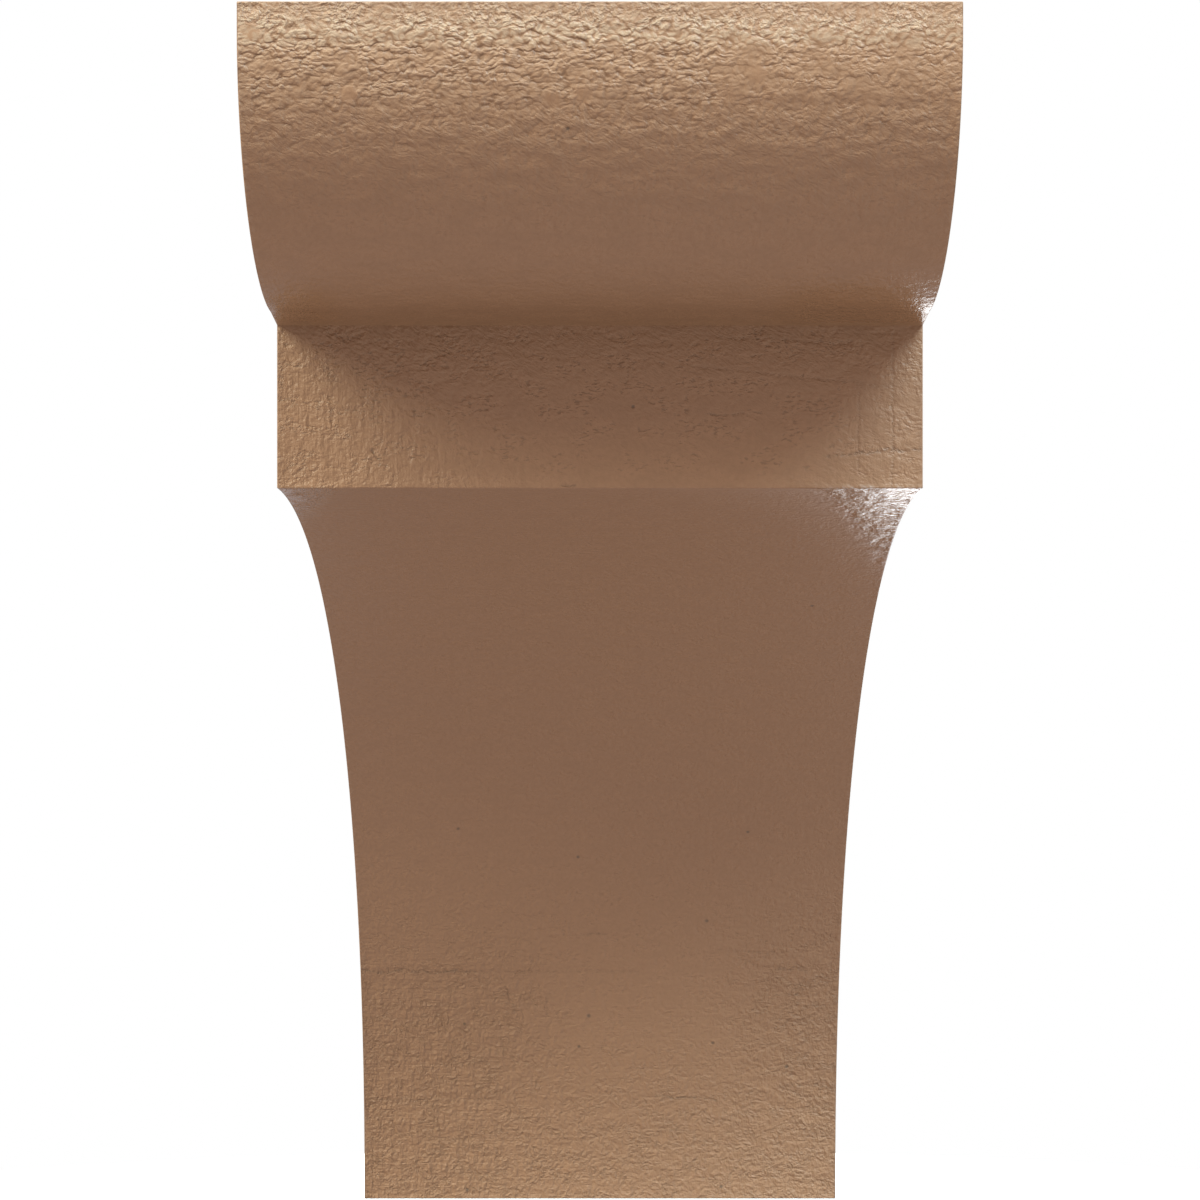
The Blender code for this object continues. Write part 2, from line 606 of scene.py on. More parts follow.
class Graph:
    """A short way to lay shader or geometry nodes."""

    def __init__(self, tree: bpy.types.NodeTree) -> None:
        """Takes the tree that the nodes go in."""
        self.tree = tree

    def node(self, kind: str, **settings: object) -> bpy.types.Node:
        """Adds a node.

        Args:
            kind: The node's type name.
            settings: Properties to set on it.

        Returns:
            The new node.
        """
        made = self.tree.nodes.new(kind)
        for name, value in settings.items():
            setattr(made, name, value)
        return made

    def put(self, socket: bpy.types.NodeSocket, value: object) -> None:
        """Links a socket to an input, or sets the input's own value.

        Args:
            socket: The input.
            value: A socket to link, or a value to set.
        """
        if isinstance(value, bpy.types.NodeSocket):
            self.tree.links.new(value, socket)
        else:
            socket.default_value = value

    def math(self, operation: str, *values: object) -> bpy.types.NodeSocket:
        """A Math node on one to three values.

        Args:
            operation: What it does.
            values: The values, each a socket or a number.

        Returns:
            The result.
        """
        made = self.node("ShaderNodeMath", operation=operation)
        for socket, value in zip(made.inputs, values):
            self.put(socket, value)
        return made.outputs[0]

    def vector(self, operation: str, *values: object) -> bpy.types.NodeSocket:
        """A Vector Math node.

        Args:
            operation: What it does.
            values: The vectors, each a socket or a tuple.

        Returns:
            Its first output.
        """
        made = self.node("ShaderNodeVectorMath", operation=operation)
        for socket, value in zip(made.inputs, values):
            self.put(socket, value)
        return made.outputs[0]

    def scaled(self, vector: object, factor: object) -> bpy.types.NodeSocket:
        """A vector times a number.

        Args:
            vector: The vector.
            factor: The number.

        Returns:
            The result.
        """
        made = self.node("ShaderNodeVectorMath", operation="SCALE")
        self.put(made.inputs[0], vector)
        self.put(made.inputs["Scale"], factor)
        return made.outputs[0]

    def length(self, vector: object) -> bpy.types.NodeSocket:
        """The length of a vector."""
        made = self.node("ShaderNodeVectorMath", operation="LENGTH")
        self.put(made.inputs[0], vector)
        return made.outputs["Value"]

    def field(self, place: object, grain: Grain) -> bpy.types.NodeSocket:
        """A flat noise, which is quicker than noise().

        Args:
            place: Where it is read; only x and y count.
            grain: Its sizes.

        Returns:
            The noise, about 0.5.
        """
        made = self.node("ShaderNodeTexNoise", noise_dimensions="2D")
        self.put(made.inputs["Vector"], self.vector("MULTIPLY_ADD", place, (*grain.per_mm, 0.0), grain.shift))
        made.inputs["Scale"].default_value = 1.0
        made.inputs["Detail"].default_value = grain.detail
        made.inputs["Roughness"].default_value = grain.roughness
        return made.outputs[0]

    def cells(
        self, place: object, grain: Grain, smoothness: float
    ) -> tuple[bpy.types.NodeSocket, bpy.types.NodeSocket]:
        """The nearest of a set of scattered points, in cells.

        Args:
            place: Where it is read; only x and y count.
            grain: The size of the cells.
            smoothness: How softly one point's part meets the next, from 0 to 1.

        Returns:
            Its distance, and how far down from it the place lies.
        """
        made = self.node("ShaderNodeTexVoronoi", voronoi_dimensions="2D", feature="SMOOTH_F1")
        read = self.vector("MULTIPLY_ADD", place, (*grain.per_mm, 0.0), grain.shift)
        self.put(made.inputs["Vector"], read)
        made.inputs["Scale"].default_value = 1.0
        made.inputs["Smoothness"].default_value = smoothness
        away = self.node("ShaderNodeSeparateXYZ")
        self.put(away.inputs[0], self.vector("SUBTRACT", read, made.outputs["Position"]))
        return made.outputs["Distance"], away.outputs["Y"]

    def eased(
        self, value: object, low: float, high: float, start: float = 0.0, end: float = 1.0
    ) -> bpy.types.NodeSocket:
        """Eases from one value to another.

        Args:
            value: What drives it.
            low: Where it starts.
            high: Where it ends.
            start: The result at low.
            end: The result at high.

        Returns:
            The result.
        """
        made = self.node("ShaderNodeMapRange", interpolation_type="SMOOTHSTEP")
        sockets = ("Value", "From Min", "From Max", "To Min", "To Max")
        for name, given in zip(sockets, (value, low, high, start, end)):
            self.put(made.inputs[name], given)
        return made.outputs["Result"]

    def noise(self, vector: object, seed: object, detail: float = 2.0) -> bpy.types.NodeSocket:
        """A noise whose cells are one unit of the vector.

        Args:
            vector: Where it is read.
            seed: The number that picks this noise out from the others.
            detail: How many finer layers it has.

        Returns:
            The noise, about 0.5.
        """
        made = self.node("ShaderNodeTexNoise", noise_dimensions="4D")
        self.put(made.inputs["Vector"], vector)
        self.put(made.inputs["W"], seed)
        self.put(made.inputs["Scale"], 1.0)
        self.put(made.inputs["Detail"], detail)
        self.put(made.inputs["Roughness"], 0.5)
        return made.outputs[0]


@dataclass(frozen=True)
class TanPrimer:
    """The opaque tan primer over the moulded sawn grain. Depths and pushes are in millimetres."""

    colour: tuple = (0.232, 0.1148, 0.0560, 1.0)
    # painted shade: the dark colour painted into the pits
    pit_shade_colour: tuple = (0.09, 0.052, 0.03, 1.0)
    worn_colour: tuple = (0.25, 0.135, 0.075, 1.0)
    # painted shade: the colour that the crevices between the torn clumps are darkened to
    crevice_shade_colour: tuple = (0.135, 0.058, 0.022, 1.0)
    # painted highlight: the paler colour mixed onto the crests of the torn grain and along the top of the nose
    crest_highlight_colour: tuple = (0.30, 0.185, 0.11, 1.0)
    patch_tone: tuple = (0.965, 1.03)
    tooth_tone: float = 0.055
    # painted shade: how much darker the nicks, grooves and cracks are painted
    dash_shade: float = -0.20
    groove_shade: float = -0.08
    crack_shade: float = -0.26
    crevice_shade_share: float = 0.55
    crest_highlight_share: float = 0.2
    nose_highlight_share: float = 0.75
    pit_shade_share: float = 0.8
    specular: float = 0.35
    roughness: float = 0.52
    polished: float = 0.18
    roughness_spread: float = 0.06
    wander: Grain = Grain((0.2, 0.2), 3.0, 1.0)
    wander_reach: float = 0.8
    patches: Grain = Grain((0.12, 0.22), 13.0, 1.0)
    clumps: Grain = Grain((0.72, 1.25), 7.0)
    clump_soft: float = 0.8
    clump_wander: Grain = Grain((0.9, 0.9), 15.0, 1.0)
    clump_reach: float = 0.35
    clump_dome: float = 1.3
    clump_tilt: float = 0.15
    swells: Grain = Grain((0.45, 0.80), 9.0)
    swell_share: float = 0.85
    level: float = -0.15
    torn_depth: float = 0.37
    tooth: Grain = Grain((0.80, 0.75), 19.0, 3.0, 0.58)
    tooth_depth: float = 0.40
    saw_lines: Grain = Grain((0.06, 1.1), 31.0, 3.0, 0.6)
    saw_depth: float = 0.12
    streaks: Grain = Grain((0.36, 0.07), 47.0, 3.0, 0.62)
    streak_depth: float = 0.40
    ripples: Grain = Grain((0.34, 0.27), 41.0, 2.0, 0.55)
    ripple_depth: float = 0.5
    hairs: Grain = Grain((0.5, 1.5), 23.0, 2.0, 0.6)
    hair_slant: float = 0.5
    hair_depth: float = 0.28
    nicks: Grain = Grain((0.7, 1.7), 67.0, 2.0, 0.6)
    dash_depth: float = 0.05
    breaks: Grain = Grain((0.9, 1.3), 53.0, 2.0, 0.6)
    crack_depth: float = 0.14
    groove_depth: float = 0.10
    pit_depth: float = 0.10

    def make(self) -> bpy.types.Material:
        """Lays the nodes of the finish.

        Returns:
            The material.
        """
        material = bpy.data.materials.new("tan_primer_sawn")
        material.use_nodes = True
        tree = material.node_tree
        tree.nodes.clear()
        g = Graph(tree)
        mm = g.scaled(g.node("ShaderNodeUVMap", uv_map=UV_NAME).outputs["UV"], UV_UNIT / MM)
        push = self._push(g, mm, self.wander, self.wander_reach)
        bent = g.vector("ADD", mm, push)
        patch = g.field(bent, self.patches)
        grain = self._torn_grain(g, bent, patch)
        fine = g.field(bent, self.tooth)
        hollows = self._hollows(g, mm, bent, push, patch)
        bump = g.node("ShaderNodeBump")
        bump.inputs["Strength"].default_value = 1.0
        bump.inputs["Distance"].default_value = MM
        g.put(bump.inputs["Height"], self._height(g, mm, bent, patch, grain, fine, hollows))
        shader = g.node("ShaderNodeBsdfPrincipled")
        g.put(shader.inputs["Base Color"], self._colour(g, patch, grain, fine, hollows))
        g.put(shader.inputs["Roughness"], self._roughness(g, fine))
        g.put(shader.inputs["Normal"], bump.outputs["Normal"])
        shader.inputs["Specular IOR Level"].default_value = self.specular
        output = g.node("ShaderNodeOutputMaterial")
        tree.links.new(shader.outputs["BSDF"], output.inputs["Surface"])
        return material

    def _attribute(self, g: Graph, name: str) -> bpy.types.NodeSocket:
        """One of the skin's own masks."""
        return g.node("ShaderNodeAttribute", attribute_name=name).outputs["Fac"]

    def _push(self, g: Graph, place: object, wander: Grain, reach: float) -> bpy.types.NodeSocket:
        """How far each place on the skin is pushed about, so that nothing on it runs straight.

        Args:
            g: The graph.
            place: The place, in millimetres.
            wander: The noise that pushes across; the push down has a number of its own.
            reach: The furthest push each way, in millimetres.

        Returns:
            The push.
        """
        both = g.node("ShaderNodeCombineXYZ")
        for axis, grain in (("X", wander), ("Y", replace(wander, seed=wander.seed + 2.0))):
            g.put(both.inputs[axis], g.math("MULTIPLY_ADD", g.field(place, grain), 2 * reach, -reach))
        return both.outputs[0]

    def _torn_grain(self, g: Graph, bent: object, patch: object) -> bpy.types.NodeSocket:
        """Rounded clumps in patches, a little steeper below than above, with narrow hollows between them.

        Args:
            g: The graph.
            bent: The pushed place.
            patch: A wide noise that makes some patches stronger.

        Returns:
            The height, about 0.
        """
        place = g.vector("ADD", bent, self._push(g, bent, self.clump_wander, self.clump_reach))
        gap, below = g.cells(place, self.clumps, self.clump_soft)
        lumps = g.math("MULTIPLY_ADD", g.math("MULTIPLY", gap, gap), -self.clump_dome, self.level)
        lumps = g.math("MULTIPLY_ADD", below, self.clump_tilt, lumps)
        height = g.math("MULTIPLY_ADD", g.field(bent, self.swells), self.swell_share, lumps)
        return g.math("MULTIPLY", height, g.eased(patch, 0.35, 0.65, 0.55, 1.15))

    def _mark(self, g: Graph, name: str, push: object, reach: float, core: float) -> bpy.types.NodeSocket:
        """1 in the middle of each mark of one kind, easing to 0 at its rim.

        Args:
            g: The graph.
            name: The kind, which is the name of the skin's own offset from its nearest mark.
            push: How far the place is pushed about.
            reach: How much of the push bends the mark.
            core: The share of the mark that is at full strength.

        Returns:
            The strength.
        """
        offset = g.node("ShaderNodeAttribute", attribute_name=name).outputs["Vector"]
        bent = g.vector("ADD", offset, g.scaled(push, reach))
        return g.eased(g.length(bent), core, 1.0, 1.0, 0.0)

    def _hollows(self, g: Graph, mm: object, bent: object, push: object, patch: object) -> dict:
        """The hollows: short level nicks in loose patches, and the marks that were set one by one.

        Args:
            g: The graph.
            mm: The place, in millimetres.
            bent: The pushed place.
            push: How far it is pushed.
            patch: A wide noise.

        Returns:
            The strength of each kind of hollow, by name.
        """
        nick = g.math(
            "MULTIPLY", g.eased(g.field(bent, self.nicks), 0.53, 0.70), g.eased(patch, 0.46, 0.6, 0.08, 1.0)
        )
        broken = g.field(mm, self.breaks)
        crack, groove = self._mark(g, "crack", push, 1.6, 0.0), self._mark(g, "groove", push, 0.8, 0.0)
        return {
            "dashes": g.math("MULTIPLY", nick, self._attribute(g, "dash")),
            "cracks": g.math("MULTIPLY", crack, g.eased(broken, 0.42, 0.62, 0.12, 1.0)),
            "grooves": g.math("MULTIPLY", groove, g.eased(broken, 0.38, 0.6, 0.25, 1.0)),
            "pits": self._mark(g, "pit", push, 0.3, 0.2),
        }

    def _height(
        self, g: Graph, mm: object, bent: object, patch: object, grain: object, fine: object, hollows: dict
    ) -> bpy.types.NodeSocket:
        """Lays every kind of grain over the last, each with its own mask and depth.

        Args:
            g: The graph.
            mm: The place, in millimetres.
            bent: The pushed place.
            patch: A wide noise.
            grain: The torn grain's height.
            fine: The tooth's height.
            hollows: The strength of each kind of hollow, by name.

        Returns:
            The height, in millimetres.
        """
        turned = g.node("ShaderNodeVectorRotate", rotation_type="Z_AXIS")
        g.put(turned.inputs["Vector"], bent)
        turned.inputs["Angle"].default_value = -self.hair_slant
        rough = g.math("MULTIPLY", self._attribute(g, "tooth"), g.eased(patch, 0.34, 0.66, 0.6, 1.35))
        loose = g.math("MULTIPLY", self._attribute(g, "hair"), g.eased(patch, 0.4, 0.62, 1.2, 0.45))
        height: object = 0.0
        for layer, strength, depth in (
            (grain, self._attribute(g, "torn"), self.torn_depth),
            (g.math("SUBTRACT", fine, 0.5), rough, self.tooth_depth),
            (g.field(mm, self.saw_lines), self._attribute(g, "saw"), self.saw_depth),
            (g.field(mm, self.streaks), self._attribute(g, "streak"), self.streak_depth),
            (g.field(bent, self.ripples), self._attribute(g, "ripple"), self.ripple_depth),
            (g.field(turned.outputs[0], self.hairs), loose, self.hair_depth),
            (hollows["dashes"], 1.0, -self.dash_depth),
            (hollows["cracks"], 1.0, -self.crack_depth),
            (hollows["grooves"], 1.0, -self.groove_depth),
            (hollows["pits"], 1.0, -self.pit_depth),
        ):
            height = g.math("MULTIPLY_ADD", g.math("MULTIPLY", layer, strength), depth, height)
        return height

    def _colour(
        self, g: Graph, patch: object, grain: object, fine: object, hollows: dict
    ) -> bpy.types.NodeSocket:
        """The tan, with a painted highlight on the crests, painted shade in the crevices and hollows, and
        paler worn edges.

        Args:
            g: The graph.
            patch: A wide noise.
            grain: The torn grain's height.
            fine: The tooth's height.
            hollows: The strength of each kind of hollow, by name.

        Returns:
            The colour.
        """
        tone = g.eased(patch, 0.3, 0.7, *self.patch_tone)
        for layer, change in (
            (g.eased(fine, 0.3, 0.7), self.tooth_tone),
            # painted shade in the nicks, grooves and cracks
            (hollows["dashes"], self.dash_shade),
            (hollows["grooves"], self.groove_shade),
            (hollows["cracks"], self.crack_shade),
        ):
            tone = g.math("MULTIPLY_ADD", layer, change, tone)
        coarse = g.eased(self._attribute(g, "torn"), 0.3, 0.75)
        # painted shade: darkens the low parts of the torn grain, where shade falls in the crevices
        deep = g.math("MULTIPLY", g.eased(grain, 0.0, -0.2), g.math("MULTIPLY", coarse, self.crevice_shade_share))
        # painted highlight: lightens the crests of the torn grain, and more along the top of the nose
        crest_highlight = g.math("MULTIPLY", coarse, self.crest_highlight_share)
        crest_highlight = g.math("MULTIPLY_ADD", self._attribute(g, "nose_highlight"), self.nose_highlight_share, crest_highlight)
        shaded = self._mixed(g, deep, self.colour, self.crevice_shade_colour)
        pale = self._mixed(g, g.math("MULTIPLY", g.eased(grain, -0.1, 0.2), crest_highlight), shaded, self.crest_highlight_colour)
        wear = g.math("MULTIPLY", self._attribute(g, "wear"), g.eased(fine, 0.46, 0.66))
        toned = g.scaled(self._mixed(g, wear, pale, self.worn_colour), tone)
        # painted shade in the pits
        return self._mixed(g, g.math("MULTIPLY", hollows["pits"], self.pit_shade_share), toned, self.pit_shade_colour)

    def _mixed(self, g: Graph, share: object, first: object, second: object) -> bpy.types.NodeSocket:
        """A blend of two colours.

        Args:
            g: The graph.
            share: How much of the second there is.
            first: The first colour.
            second: The second colour.

        Returns:
            The blend.
        """
        mixed = g.node("ShaderNodeMix", data_type="RGBA", blend_type="MIX")
        g.put(mixed.inputs["Factor"], share)
        g.put(mixed.inputs["A"], first)
        g.put(mixed.inputs["B"], second)
        return mixed.outputs["Result"]

    def _roughness(self, g: Graph, fine: object) -> bpy.types.NodeSocket:
        """The sheen: smoother where the mould was polished, and a little duller in the tooth's hollows.

        Args:
            g: The graph.
            fine: The tooth's height.

        Returns:
            The roughness.
        """
        dull = g.eased(fine, 0.35, 0.65, self.roughness + self.roughness_spread, self.roughness)
        return g.math("MULTIPLY_ADD", self._attribute(g, "polish"), self.polished - self.roughness, dull)


@dataclass(frozen=True)
class SawnRelief:
    """A geometry tree that cuts the larger hollows of the grain straight into the skin, in metres."""

    depth: float = 0.00028
    lump_across: float = 0.0044
    lump_down: float = 0.0026
    wave_depth: float = 0.00015
    wave_across: float = 0.25
    wave_down: float = 0.009
    seed: float = 7.0

    def inputs(self) -> dict[str, float]:
        """The tree's named inputs and their values."""
        return {
            "Grain Depth": self.depth,
            "Lump Across": self.lump_across,
            "Lump Down": self.lump_down,
            "Wave Depth": self.wave_depth,
            "Wave Across": self.wave_across,
            "Wave Down": self.wave_down,
            "Seed": self.seed,
        }

    def tree(self) -> bpy.types.NodeTree:
        """Builds the tree.

        Returns:
            The geometry node group.
        """
        group = bpy.data.node_groups.new("sawn_relief", "GeometryNodeTree")
        group.interface.new_socket(name="Geometry", in_out="INPUT", socket_type="NodeSocketGeometry")
        for name, value in self.inputs().items():
            socket = group.interface.new_socket(name=name, in_out="INPUT", socket_type="NodeSocketFloat")
            socket.default_value = value
        group.interface.new_socket(name="Material", in_out="INPUT", socket_type="NodeSocketMaterial")
        group.interface.new_socket(name="Geometry", in_out="OUTPUT", socket_type="NodeSocketGeometry")
        g = Graph(group)
        source = g.node("NodeGroupInput")
        given = source.outputs
        mask = g.node("GeometryNodeInputNamedAttribute", data_type="FLOAT")
        mask.inputs["Name"].default_value = "relief"
        lump = self._hollow(g, given["Lump Across"], given["Lump Down"], given["Seed"], 2.0)
        wave = self._hollow(g, given["Wave Across"], given["Wave Down"], given["Seed"], 1.0)
        cut = g.math("MULTIPLY", lump, given["Grain Depth"])
        cut = g.math("MULTIPLY_ADD", wave, given["Wave Depth"], cut)
        cut = g.math("MULTIPLY", g.math("MULTIPLY", cut, mask.outputs["Attribute"]), -1.0)
        moved = g.node("GeometryNodeSetPosition")
        g.put(moved.inputs["Geometry"], given["Geometry"])
        g.put(moved.inputs["Offset"], g.scaled(g.node("GeometryNodeInputNormal").outputs["Normal"], cut))
        real = g.node("GeometryNodeRealizeInstances")
        g.put(real.inputs["Geometry"], moved.outputs["Geometry"])
        dressed = g.node("GeometryNodeSetMaterial")
        g.put(dressed.inputs["Geometry"], real.outputs["Geometry"])
        g.put(dressed.inputs["Material"], given["Material"])
        target = g.node("NodeGroupOutput")
        g.put(target.inputs["Geometry"], dressed.outputs["Geometry"])
        return group

    def _hollow(
        self, g: Graph, across: object, down: object, seed: object, detail: float
    ) -> bpy.types.NodeSocket:
        """One layer of hollows over the skin.

        Args:
            g: The graph.
            across: The width of its lumps, in metres.
            down: Their height.
            seed: Its number.
            detail: How many finer layers it has.

        Returns:
            How deep it is at each point, from 0 to 1.
        """
        place = g.node("GeometryNodeInputNamedAttribute", data_type="FLOAT_VECTOR")
        place.inputs["Name"].default_value = "grain"
        size = g.node("ShaderNodeCombineXYZ")
        for axis, length in (("X", across), ("Y", down), ("Z", 1.0)):
            g.put(size.inputs[axis], length)
        read = g.vector("DIVIDE", place.outputs["Attribute"], size.outputs[0])
        return g.eased(g.noise(read, seed, detail), 0.3, 0.7)

    def cut(self, thing: bpy.types.Object, material: bpy.types.Material) -> None:
        """Runs the tree on an object and leaves the plain mesh that it makes.

        Args:
            thing: The object to cut.
            material: The finish of its faces.
        """
        modifier = thing.modifiers.new("sawn_relief", "NODES")
        modifier.node_group = self.tree()
        values: dict[str, object] = {**self.inputs(), "Material": material}
        for item in modifier.node_group.interface.items_tree:
            if item.in_out == "INPUT" and item.name in values:
                modifier[item.identifier] = values[item.name]
        evaluated = thing.evaluated_get(bpy.context.evaluated_depsgraph_get())
        plain = bpy.data.meshes.new_from_object(evaluated)
        thing.modifiers.clear()
        thing.data = plain


@dataclass
class CorbelSkin:
    """The whole outside of the corbel as one closed mesh.

    The relief fades over the width fade at a sharp edge. An edge stays crisp where the cosine between its
    faces is under crease, and points nearer than same_place count as one.
    """

    size: Moulding = field(default_factory=Moulding)
    steps: SkinSteps = field(default_factory=SkinSteps)
    relief: SawnRelief = field(default_factory=SawnRelief)
    masks: ReliefMasks = field(default_factory=ReliefMasks)
    fade: float = 0.0009
    crease: float = 0.8
    same_place: float = 2e-6

    def _columns(self) -> np.ndarray:
        """The places of the front's columns, between the rounded edges."""
        half = self.size.width / 2 - self.size.arris
        count = round(2 * half / self.steps.across)
        return np.linspace(-half, half, count + 1)

    def _round_turns(self) -> np.ndarray:
        """The angles across a rounded edge, from 0 to a quarter turn."""
        return np.linspace(0.0, math.pi / 2, self.steps.arris + 1)

    def _side_columns(self, path: FrontPath) -> tuple[np.ndarray, np.ndarray]:
        """The right side as columns of points, from the back to the front, with both of its rounded edges.

        Args:
            path: The front's line.

        Returns:
            The points and their places on the grain map, by row and column.
        """
        points, insets, along, _ = path.arrays()
        r, half, top = self.size.arris, self.size.width / 2 - self.size.arris, self.size.height / 2
        ring = points - r * insets
        reach = np.concatenate([[0.0], np.cumsum(np.linalg.norm(np.diff(ring, axis=0), axis=1))])
        back_up = (top - r) * (1 - 2 * reach / reach[-1])
        turns = self._round_turns()
        columns, uvs = [], []

        def add(x: float, out: np.ndarray, up: np.ndarray, u: np.ndarray, v: np.ndarray) -> None:
            """Adds a column at x, with its places on the map."""
            columns.append(np.stack([np.full(len(points), x), -out, up], axis=1))
            uvs.append(np.stack([u, v], axis=1))

        for turn in turns:
            out = np.full(len(points), r - r * math.cos(turn))
            add(half + r * math.sin(turn), out, back_up, out, back_up)
        for share in np.linspace(0.0, 1.0, self.steps.side + 1)[1:]:
            out = r + (ring[:, 0] - r) * share
            up = back_up + (ring[:, 1] - back_up) * share
            add(half + r, out, up, out, up)
        for turn in turns[::-1][1:]:
            place = points - r * (1 - math.cos(turn)) * insets
            round_edge = np.full(len(points), half + r * turn)
            add(half + r * math.sin(turn), place[:, 0], place[:, 1], round_edge, along)
        return np.array(columns).transpose(1, 0, 2), np.array(uvs).transpose(1, 0, 2) / UV_UNIT

    def _wrap_patch(self, path: FrontPath) -> Patch:
        """The left side, the front and the right side as one sheet, with the back's upright edges.

        Args:
            path: The front's line.

        Returns:
            The sheet.
        """
        points, _, along, rounded = path.arrays()
        edge, edge_uv = self._side_columns(path)
        arris, side, main = self.steps.arris, self.steps.side, self._columns()
        shape = (len(points), len(main))
        spread = (main, -points[:, :1], points[:, 1:])
        grid = np.stack([np.broadcast_to(values, shape) for values in spread], axis=2)
        grid_uv = np.stack(np.meshgrid(main, along), axis=2) / UV_UNIT + np.array(Plane.FRONT.value)
        left_uv, right_uv = edge_uv.copy(), edge_uv[:, ::-1].copy()
        flat_columns = arris + 1 + side
        left_uv[:, flat_columns:, 0] *= -1
        left_uv[:, :flat_columns] += np.array(Plane.LEFT.value)
        right_uv[:, arris:] += np.array(Plane.RIGHT.value)
        mirrored = edge * np.array([-1.0, 1.0, 1.0])
        whole = np.concatenate([mirrored, grid[:, 1:-1], edge[:, ::-1]], axis=1)
        whole_uv = np.concatenate([left_uv, grid_uv[:, 1:-1], right_uv], axis=1)
        steps = [True] * arris + [False] * side + [True] * arris
        rounded_columns = np.array([False] + steps + [False] * (len(main) - 1) + steps)
        return Patch(whole, whole_uv, rounded, rounded_columns)

    def _flat_patch(self, plane: Plane, front_out: float, sign: float) -> Patch:
        """The top or the foot's underside, with the rounded edges along its sides and its back.

        Args:
            plane: Which face it is.
            front_out: Where its front row stands, out from the wall.
            sign: 1 for the top and -1 for the underside.

        Returns:
            The sheet.
        """
        r, half, top = self.size.arris, self.size.width / 2 - self.size.arris, self.size.height / 2
        turns = self._round_turns()
        main = self._columns()
        xs = np.concatenate([-(half + r * np.sin(turns[::-1])), main[1:-1], half + r * np.sin(turns)])
        reach = np.concatenate([np.cos(turns[::-1]), np.ones(len(main) - 2), np.cos(turns)]) * r
        centres = np.concatenate([np.full(len(turns), r), np.linspace(r, front_out, self.steps.side + 1)[1:]])
        angles = np.concatenate([turns[::-1], np.zeros(self.steps.side)])
        out = centres[:, None] - np.sin(angles)[:, None] * reach
        up = sign * (top - r + np.cos(angles)[:, None] * reach)
        grid = np.stack([np.broadcast_to(xs, out.shape), -out, up], axis=2)
        uv = np.stack([grid[:, :, 0], out], axis=2) / UV_UNIT + np.array(plane.value)
        count = self.steps.arris
        rows = np.array([False] + [True] * count + [False] * self.steps.side)
        columns = np.zeros(len(xs), bool)
        columns[1 : count + 1] = True
        columns[-count:] = True
        return Patch(grid, uv, rows, columns)

    def _close_back(self, mesh: bmesh.types.BMesh) -> None:
        """Fills the one opening that is left, which is the flat back.

        Args:
            mesh: The mesh.
        """
        rim = [edge for edge in mesh.edges if edge.is_boundary]
        filled = bmesh.ops.edgeloop_fill(mesh, edges=rim)
        uv_layer = mesh.loops.layers.uv[UV_NAME]
        place = Plane.BACK.value
        for face in filled["faces"]:
            for loop in face.loops:
                x, _, z = loop.vert.co
                loop[uv_layer].uv = (x / UV_UNIT + place[0], z / UV_UNIT + place[1])

    def _mark_edges(self, mesh: bmesh.types.BMesh) -> None:
        """Shades smooth, with a crisp line where a flat face meets a rounded edge or a corner turns in.

        Args:
            mesh: The mesh.
        """
        rounded = mesh.faces.layers.int["rounded"]
        for face in mesh.faces:
            face.smooth = True
        for edge in mesh.edges:
            first, second = edge.link_faces
            sharp = first.normal.dot(second.normal) < self.crease
            turned = sharp and not (first[rounded] and second[rounded])
            edge.smooth = not (turned or first[rounded] != second[rounded])

    def _set_masks(self, mesh: bpy.types.Mesh, path: FrontPath) -> None:
        """Stores the grain's place and the strength of each kind of grain on every point.

        Args:
            mesh: The skin.
            path: The front's line.
        """
        count = len(mesh.vertices)
        flat = np.empty(count * 3)
        mesh.vertices.foreach_get("co", flat)
        x, y, z = flat.reshape(-1, 3).T
        down = self._down_skin(-y, z, path)
        front = down >= 0
        down = np.where(front, down, 0.0)
        a, s, masks = x / MM, down / MM, self.masks
        torn, ripple = masks.torn(a, s), masks.ripple(a, s)
        cut = np.maximum(torn, ripple) * smoothstep(0.6 * self.fade, 2 * self.fade, self._edge_gap(x, down))
        beside = self.size.width / 2 - np.abs(x)
        for name, strength, plain in (
            ("torn", torn, 0.35),
            ("tooth", masks.tooth(a, s), 0.6),
            ("saw", masks.saw(a, s), 0.8),
            ("polish", masks.polish(a, s), 0.0),
            ("streak", masks.streak(a, s), 0.1),
            ("hair", masks.hair(s), 0.3),
            ("ripple", ripple, 0.3),
            ("dash", masks.dash(a, s), 0.2),
            # painted highlight along the top of the nose
            ("nose_highlight", masks.nose_highlight(s), 0.0),
            ("relief", cut, 0.0),
            ("wear", smoothstep(1.6 * self.fade, 0.2 * self.fade, beside), 0.0),
        ):
            self._store(mesh, name, np.where(front, strength, plain))
        self._store(mesh, "grain", np.stack([x, down, np.zeros(count)], axis=1))
        nowhere = np.array([0.0, 0.0, FAR])
        marks = masks.marks
        for name, kind in (("pit", marks.pits), ("crack", marks.cracks), ("groove", marks.grooves)):
            self._store(mesh, name, np.where(front[:, None], masks.offset(kind, a, s), nowhere))

    def _edge_gap(self, across: np.ndarray, down: np.ndarray) -> np.ndarray:
        """How far each point of the front is from the nearest sharp edge.

        Args:
            across: Metres across.
            down: Metres down.

        Returns:
            The distances, in metres.
        """
        gap = self.size.width / 2 - np.abs(across)
        for corner in (0.0, self.size.fascia_start, self.size.fascia_end, down.max()):
            gap = np.minimum(gap, np.abs(down - corner))
        return gap

